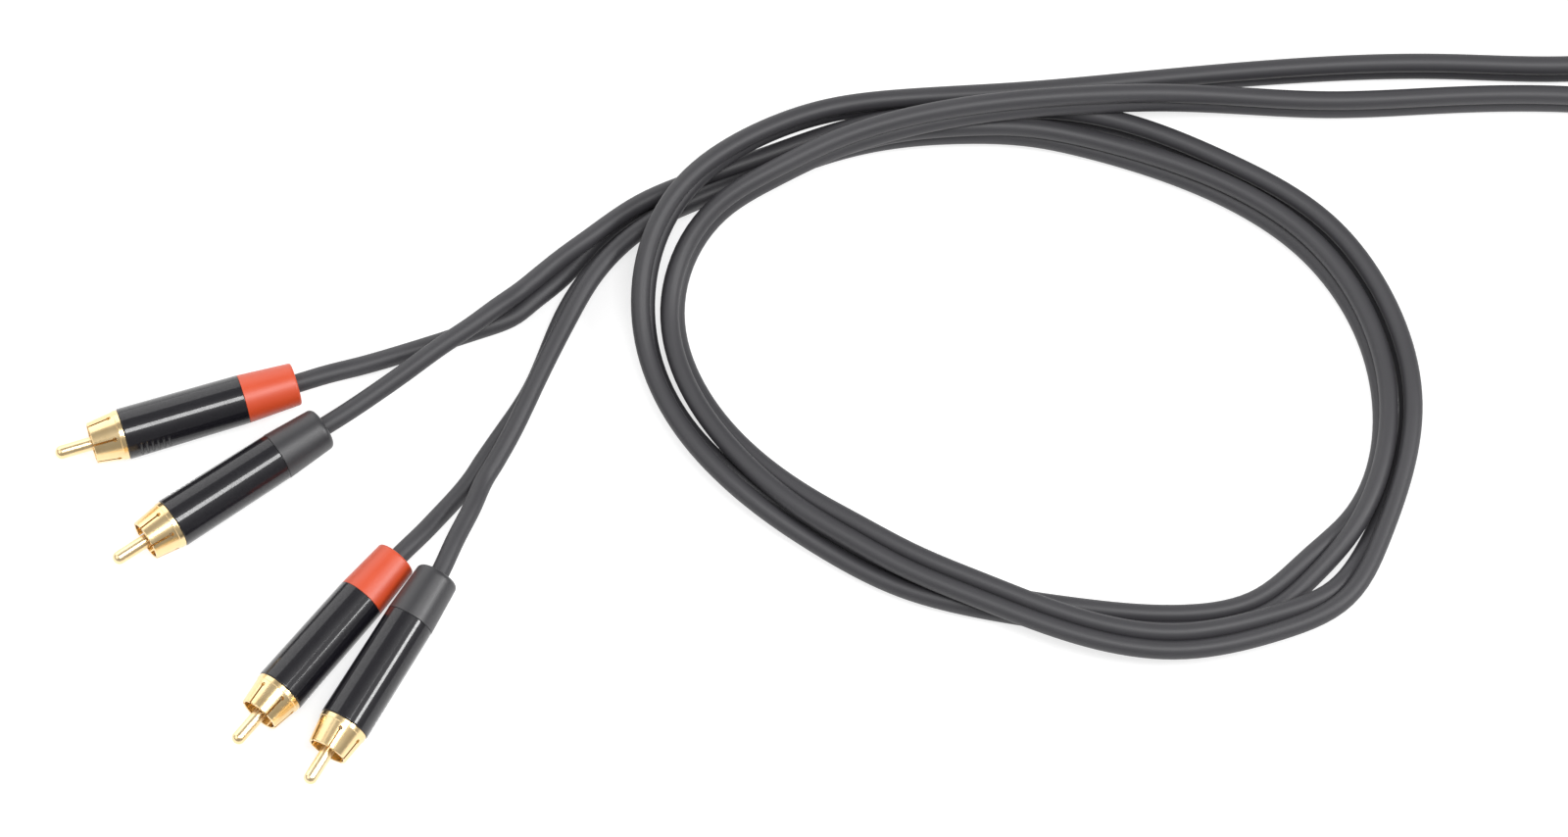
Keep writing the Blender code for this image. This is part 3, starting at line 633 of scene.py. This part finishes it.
# %% [markdown]
# ## Ground collar
#
# The collar is a thin tapered cup that springs onto the jack. Six sawn slots let it spring, and each ends in
# a round hole so that the metal doesn't crack there. Painted slots would not let light through, so Geometry
# Nodes cut them: one cutter, the union of a blade and a drill, is instanced round the axis and taken from the
# turned cup. Another number of slots then needs only another count.

# %% Tree: slotted collar
SLOT_COUNT = 6
SLOT_WIDTH = 0.0005
SLOT_LENGTH = 0.0052
KEYHOLE_DIA = 0.0011
DRILL_SIDES = 28

slot_tree, given = new_tree("slotted_collar", Slots="Int", Slot_width="Float", Slot_length="Float",
                            Keyhole="Float", Mouth="Float", Inner="Float", Outer="Float", Plate="Material")
reach = given["Outer"] - given["Inner"]
middle_radius = (given["Outer"] + given["Inner"]) * 0.5
hole_height = given["Mouth"] + given["Slot_length"]
blade_length = given["Slot_length"] * 2.0
blade = reach.add("GeometryNodeMeshCube", (), {
    "Size": reach.add("ShaderNodeCombineXYZ", (), {"X": reach, "Y": given["Slot_width"], "Z": blade_length})})
blade = blade.add("GeometryNodeTransform", (), {
    "Geometry": blade,
    "Translation": blade.add("ShaderNodeCombineXYZ", (), {"X": middle_radius, "Z": given["Mouth"]})})
drill = reach.add("GeometryNodeMeshCylinder", (), {
    "Vertices": DRILL_SIDES, "Radius": given["Keyhole"], "Depth": reach})
drill = drill.add("GeometryNodeTransform", (), {
    "Geometry": drill, "Rotation": (0.0, math.pi / 2, 0.0),
    "Translation": drill.add("ShaderNodeCombineXYZ", (), {"X": middle_radius, "Z": hole_height})})
cutter = blade.add("GeometryNodeMeshBoolean", {"operation": "UNION", "solver": "EXACT"},
                   {"Mesh 2": [blade, drill]})
stations = reach.add("GeometryNodePoints", (), {"Count": given["Slots"], "Position": (0.0, 0.0, 0.0)})
step = math.tau / given["Slots"]
turn = stations.add("GeometryNodeInputIndex") * step
cutters = stations.add("GeometryNodeInstanceOnPoints", (), {
    "Points": stations, "Instance": cutter,
    "Rotation": turn.add("ShaderNodeCombineXYZ", (), {"Z": turn})})
cutters = cutters.add("GeometryNodeRealizeInstances", (), {"Geometry": cutters})
cut = cutters.add("GeometryNodeMeshBoolean", {"operation": "DIFFERENCE", "solver": "EXACT"},
                  {"Mesh 1": given["Geometry"], "Mesh 2": cutters})
end_tree(slot_tree, cut, given["Plate"])
print("slotted collar tree:", len(slot_tree.nodes), "nodes")

# %% Ground collar
COLLAR_MOUTH_DIA = 0.0099
COLLAR_BASE_DIA = 0.0117
COLLAR_BORE_DIA = 0.0087
COLLAR_RING_DIA = 0.0120
COLLAR_RING_LENGTH = 0.0009
COLLAR_CHAMFER = 0.0001         # from the ring down to the tapered cup
COLLAR_FLOOR = 0.0010           # thickness behind the open cup
SPIGOT_BORE = 0.0068
SHELL_BORE = 0.0094
CUTTER_OVERSHOOT = 0.001        # how far the cutters reach out of the collar
COLLAR_SIDES = 120

ring_front = -CLEAR - COLLAR_RING_LENGTH
collar_outline = rounded([
    (SPIGOT_BORE / 2, SPIGOT_LENGTH, 0), (SHELL_BORE / 2 - CLEAR, SPIGOT_LENGTH, EASED),
    (SHELL_BORE / 2 - CLEAR, -TIGHT, 0), (COLLAR_RING_DIA / 2, -TIGHT, CRISP),
    (COLLAR_RING_DIA / 2, ring_front, CRISP), (COLLAR_BASE_DIA / 2, ring_front - COLLAR_CHAMFER, 0),
    (COLLAR_MOUTH_DIA / 2, -COLLAR_LENGTH, EASED), (COLLAR_BORE_DIA / 2, -COLLAR_LENGTH, CRISP),
    (COLLAR_BORE_DIA / 2, -COLLAR_FLOOR, EASED), (SPIGOT_BORE / 2, -COLLAR_FLOOR, 0)], steps=4)
collar_mesh = grow(spun(collar_outline, COLLAR_SIDES), slot_tree, Slots=SLOT_COUNT, Slot_width=SLOT_WIDTH,
                   Slot_length=SLOT_LENGTH, Keyhole=KEYHOLE_DIA / 2, Mouth=-COLLAR_LENGTH,
                   Inner=COLLAR_BORE_DIA / 4, Outer=COLLAR_RING_DIA / 2 + CUTTER_OVERSHOOT, Plate=gold)
print("collar faces:", len(collar_mesh.polygons))

# %% [markdown]
# ## Shell
#
# The shell is a lacquered metal barrel with a slight taper. Grip grooves are milled across one side near the
# front, one after another at an even pitch, which is a row of instances along the axis. The clear lacquer
# is a coat over a blasted black surface. The coat draws the sharp line of a light and breaks it up into fine
# grains, where the blasting shows through, and the surface under it adds the broad soft sheen.

# %% Finish: black lacquer
def lacquer_finish():
    material, shader, place = new_finish("black_lacquer_over_blasted_metal", Specular_IOR_Level=0.22,
                                         Coat_Roughness=0.10)
    grain = noise(place, 0.00022, 4.0)
    cloud = noise(place, 0.004)
    sparkle = grain.add("ShaderNodeValToRGB", {"stops": [(0.55, 0.0), (0.72, 1.0)]}, {"Fac": grain})
    cover = grain.add("ShaderNodeValToRGB", {"stops": [(0.36, 0.55), (0.58, 1.0)]}, {"Fac": grain})
    feed(shader,
         Base_Color=tint(sparkle * 0.6 + cloud * 0.2, (0.0040, 0.0034, 0.0060), (0.016, 0.015, 0.020)),
         Roughness=0.30 + grain * 0.16 + cloud * 0.04,
         Coat_Weight=cover,
         Normal=relief(grain, 0.00002, 0.35))
    return material


# %% Tree: grip grooves
GROOVE_COUNT = 6
GROOVE_PITCH = 0.00136
GROOVE_FIRST = 0.0031
GROOVE_DEPTH = 0.0005
GROOVE_RADIUS = 0.00035
GROOVE_SIDES = 24

grip_tree, given = new_tree("grip_grooves", Grooves="Int", Pitch="Float", First="Float", Depth="Float",
                            Mill_radius="Float", Surface="Float", Lacquer="Material")
mill = given["Pitch"].add("GeometryNodeMeshCylinder", (), {
    "Vertices": GROOVE_SIDES, "Radius": given["Mill_radius"], "Depth": given["Surface"] * 2.0})
mill = mill.add("GeometryNodeTransform", (), {"Geometry": mill, "Rotation": (math.pi / 2, 0.0, 0.0)})
mill_distance = given["Surface"] - given["Depth"] + given["Mill_radius"]
stations = mill.add("GeometryNodeMeshLine", {"mode": "OFFSET"}, {
    "Count": given["Grooves"],
    "Start Location": mill.add("ShaderNodeCombineXYZ", (), {"X": mill_distance, "Z": given["First"]}),
    "Offset": mill.add("ShaderNodeCombineXYZ", (), {"Z": given["Pitch"]})})
mills = stations.add("GeometryNodeInstanceOnPoints", (), {"Points": stations, "Instance": mill})
mills = mills.add("GeometryNodeRealizeInstances", (), {"Geometry": mills})
cut = mills.add("GeometryNodeMeshBoolean", {"operation": "DIFFERENCE", "solver": "EXACT"},
                {"Mesh 1": given["Geometry"], "Mesh 2": mills})
end_tree(grip_tree, cut, given["Lacquer"])
print("grip grooves tree:", len(grip_tree.nodes), "nodes")

# %% Shell
SHELL_REAR_DIA = 0.0118
SHELL_EDGE = 0.00022            # fillet of the front edge
SHELL_SIDES = 128

shell_outline = rounded([
    (SHELL_BORE / 2, SHELL_LENGTH, CRISP), (SHELL_REAR_DIA / 2, SHELL_LENGTH, CRISP),
    (SHELL_FRONT_DIA / 2, 0, SHELL_EDGE), (SHELL_BORE / 2, 0, CRISP)])
shell_mesh = grow(spun(shell_outline, SHELL_SIDES), grip_tree, Grooves=GROOVE_COUNT, Pitch=GROOVE_PITCH,
                  First=GROOVE_FIRST, Depth=GROOVE_DEPTH, Mill_radius=GROOVE_RADIUS,
                  Surface=SHELL_FRONT_DIA / 2, Lacquer=lacquer_finish())
print("shell faces:", len(shell_mesh.polygons))

# %% [markdown]
# ## Boot
#
# The boot is moulded rubber that plugs into the back of the shell and narrows towards the cord. A round mould
# leaves the same form as a lathe, so one function turns both boots, and only their sizes and colours differ.
# Rubber out of a mould is matt with a faint bloom, which sheen gives at grazing angles, and its skin carries
# a fine spark-eroded grain.

# %% Finish: rubber
def rubber_finish(name, dark, light):
    material, shader, place = new_finish(name, Specular_IOR_Level=0.85, Sheen_Weight=0.08,
                                         Sheen_Roughness=0.5)
    grain = noise(place, 0.00012, 3.0)
    cloud = noise(place, 0.006)
    feed(shader,
         Base_Color=tint(cloud * 0.6 + grain * 0.4, dark, light),
         Roughness=0.36 + grain * 0.10 + cloud * 0.06,
         Normal=relief(grain, 0.00002, 0.5))
    return material


# %% Boots
BOOT_SPIGOT_LENGTH = 0.0040
BOOT_CAVITY = 0.0060
BOOT_CAVITY_DEPTH = 0.0030
CORD_CLEAR = 0.0002
BOOT_SIDES = 96


def boot(front_dia, rear_dia, edge, rubber):
    """An upright boot, rounded by edge at the cord's end, with a hollow stem that goes into the shell."""
    front = SHELL_LENGTH + TIGHT
    hole = CORD_DIA / 2 + CORD_CLEAR
    spigot = SHELL_BORE / 2 - CLEAR
    spigot_front = front - BOOT_SPIGOT_LENGTH
    cavity_end = front + BOOT_CAVITY_DEPTH
    outline = rounded([
        (hole, BOOT_END, EASED), (rear_dia / 2, BOOT_END, edge), (front_dia / 2, front, CRISP),
        (spigot, front, 0), (spigot, spigot_front, EASED), (BOOT_CAVITY / 2, spigot_front, 0),
        (BOOT_CAVITY / 2, cavity_end, 0), (hole, cavity_end + BOOT_CAVITY / 2 - hole, 0)], steps=6)
    return taken_from(spun(outline, BOOT_SIDES), rubber)


red_rubber = rubber_finish("red_rubber", (0.61, 0.054, 0.008), (0.68, 0.074, 0.012))
black_rubber = rubber_finish("black_rubber", (0.016, 0.0155, 0.018), (0.025, 0.024, 0.028))
boots = {
    "red": boot(front_dia=0.0117, rear_dia=0.0102, edge=0.0006, rubber=red_rubber),
    "black": boot(front_dia=0.0119, rear_dia=0.0104, edge=0.0013, rubber=black_rubber),
}
print("boot faces:", len(boots["red"].polygons))

# %% [markdown]
# ## Assembling the plugs
#
# The same few meshes serve every plug, as the same few parts do on the real lead. Collar and shell are
# turned about their own axis first, so that slots and grip face the way that they do on each plug. Each copy
# keeps its place in its mesh, and its object stays at the origin, so no pattern slides.

# %% Visible pieces of each plug
for plug, (*_, slot_turn, grip_turn) in PLUGS.items():
    colour = plug.split("_")[1]
    finished_piece(plug + "_contact", laid_down(pin_mesh, plug, 0.0), plug + "_pin")
    finished_piece(plug + "_spring_collar", laid_down(collar_mesh, plug, slot_turn), plug + "_collar")
    finished_piece(plug + "_barrel", laid_down(shell_mesh, plug, grip_turn), plug + "_shell")
    finished_piece(plug + "_rubber", laid_down(boots[colour], plug, 0.0), plug + "_boot")
    print(plug, "laid down, slots at", slot_turn, "and grip at", grip_turn)

# %% [markdown]
# ## What the shell hides
#
# The solids inside the plug already have their true shape, so they stay and only get a finish: a milky
# insulator round the pin, a tinned ground tag, a clear sleeve, white insulation on the core and the copper
# braid. Their patterns all read Object coordinates.

# %% Finishes of the inner pieces
def plain_finish(name, dark, light, roughness, metallic=0.0, size=0.0008):
    material, shader, place = new_finish(name, Metallic=metallic)
    grain = noise(place, size, 3.0)
    feed(shader,
         Base_Color=tint(grain, dark, light),
         Roughness=roughness + grain * 0.15,
         Normal=relief(grain, 0.00001, 0.3))
    return material


INNER_FINISHES = {
    "insulator": plain_finish("moulded_insulator", (0.66, 0.64, 0.58), (0.76, 0.74, 0.68), 0.38),
    "ground_tag": plain_finish("tinned_brass", (0.70, 0.66, 0.55), (0.82, 0.79, 0.70), 0.22, 1.0, 0.0004),
    "liner": plain_finish("milky_sleeve", (0.58, 0.60, 0.62), (0.66, 0.68, 0.70), 0.30),
    "core": plain_finish("white_insulation", (0.76, 0.76, 0.74), (0.84, 0.84, 0.82), 0.36),
    "shield_tail": plain_finish("copper_braid", (0.70, 0.33, 0.17), (0.90, 0.50, 0.30), 0.25, 1.0, 0.0003),
}
for plug in PLUGS:
    for part, finish in INNER_FINISHES.items():
        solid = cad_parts[plug + "_" + part]
        solid.data.materials.clear()
        solid.data.materials.append(finish)
print("inner pieces finished:", len(PLUGS) * len(INNER_FINISHES))

# %% [markdown]
# ## Floor and light
#
# The floor is a plain white sheet. Seen by the camera and in reflections it is partly a plain white glow, so
# it reads as white and still keeps the shadow of the lead. A softbox overhead draws the sharp line along the
# two upper shells, and a second one out to the right does so for the last shell. The third plug points at
# the gap between them, so it keeps only its soft sheen. A broad dim light low at the back left gives the
# grey of the far flanks, and one at the near left brightens the gold.

# %% Floor
FLOOR_SIZE = 12.0
FLOOR_HEIGHT = -0.0006
FLOOR_GLOW = 0.72               # light that the sheet gives off by itself
FLOOR_SHADED = 0.42             # share of the lamps' light that it returns, with the shadow in it

bm = bmesh.new()
bmesh.ops.create_grid(bm, x_segments=1, y_segments=1, size=FLOOR_SIZE / 2)
floor_mesh = bpy.data.meshes.new("floor")
bm.to_mesh(floor_mesh)
bm.free()
floor_mesh.transform(Matrix.Translation((VIEW_TARGET.x, VIEW_TARGET.y, FLOOR_HEIGHT)))
floor_paint = bpy.data.materials.new("white_floor")
floor_paint.use_nodes = True
floor_tree = floor_paint.node_tree
floor_tree.nodes.remove(floor_tree.nodes["Principled BSDF"])
start = Wire(floor_tree)
ray = start.add("ShaderNodeLightPath", output="Is Camera Ray")
glossy_ray = Wire(floor_tree, ray.socket.node.outputs["Is Glossy Ray"])
clear_ray = Wire(floor_tree, ray.socket.node.outputs["Is Transmission Ray"])
plain = start.add("ShaderNodeBsdfDiffuse", (), {"Color": (0.8, 0.8, 0.8, 1)})
shaded = start.add("ShaderNodeBsdfDiffuse", (), {"Color": (FLOOR_SHADED, FLOOR_SHADED, FLOOR_SHADED, 1)})
glow = start.add("ShaderNodeEmission", (), {"Color": (1, 1, 1, 1), "Strength": FLOOR_GLOW})
white = start.add("ShaderNodeAddShader", (), {0: shaded, 1: glow})
surface = start.add("ShaderNodeMixShader", (), {0: ray + glossy_ray + clear_ray, 1: plain, 2: white})
floor_tree.links.new(surface.socket, floor_tree.nodes["Material Output"].inputs["Surface"])
floor_mesh.materials.append(floor_paint)
floor = bpy.data.objects.new("floor", floor_mesh)
bpy.context.scene.collection.objects.link(floor)
print("floor:", FLOOR_SIZE, "m")

# %% Lights
WORLD_LIGHT = 0.33


def softbox(name, centre, target, width, height, radiance):
    """A flat rectangular light that shines from centre to target, this bright wherever it is seen."""
    data = bpy.data.lights.new(name, "AREA")
    data.shape = "RECTANGLE"
    data.size = width
    data.size_y = height
    data.energy = radiance * math.pi * width * height
    lamp = bpy.data.objects.new(name, data)
    lamp.location = centre
    lamp.rotation_euler = (Vector(target) - Vector(centre)).to_track_quat("-Z", "Y").to_euler()
    bpy.context.scene.collection.objects.link(lamp)


softbox("overhead", (0.32, -0.21, 1.20), (0.32, -0.21, 0), 0.52, 0.34, 14.0)
softbox("right", (1.27, -0.13, 1.0), (0.02, -0.04, 0), 0.53, 0.34, 19.0)
softbox("back_left", (-0.60, 1.05, 0.60), (0.0, 0.0, 0), 1.6, 1.2, 1.4)
softbox("left", (-0.80, -0.25, 0.90), (0.0, 0.0, 0), 1.0, 0.9, 1.2)
world = bpy.data.worlds.new("studio")
world.use_nodes = True
world.node_tree.nodes["Background"].inputs["Color"].default_value = (1, 1, 1, 1)
world.node_tree.nodes["Background"].inputs["Strength"].default_value = WORLD_LIGHT
bpy.context.scene.world = world
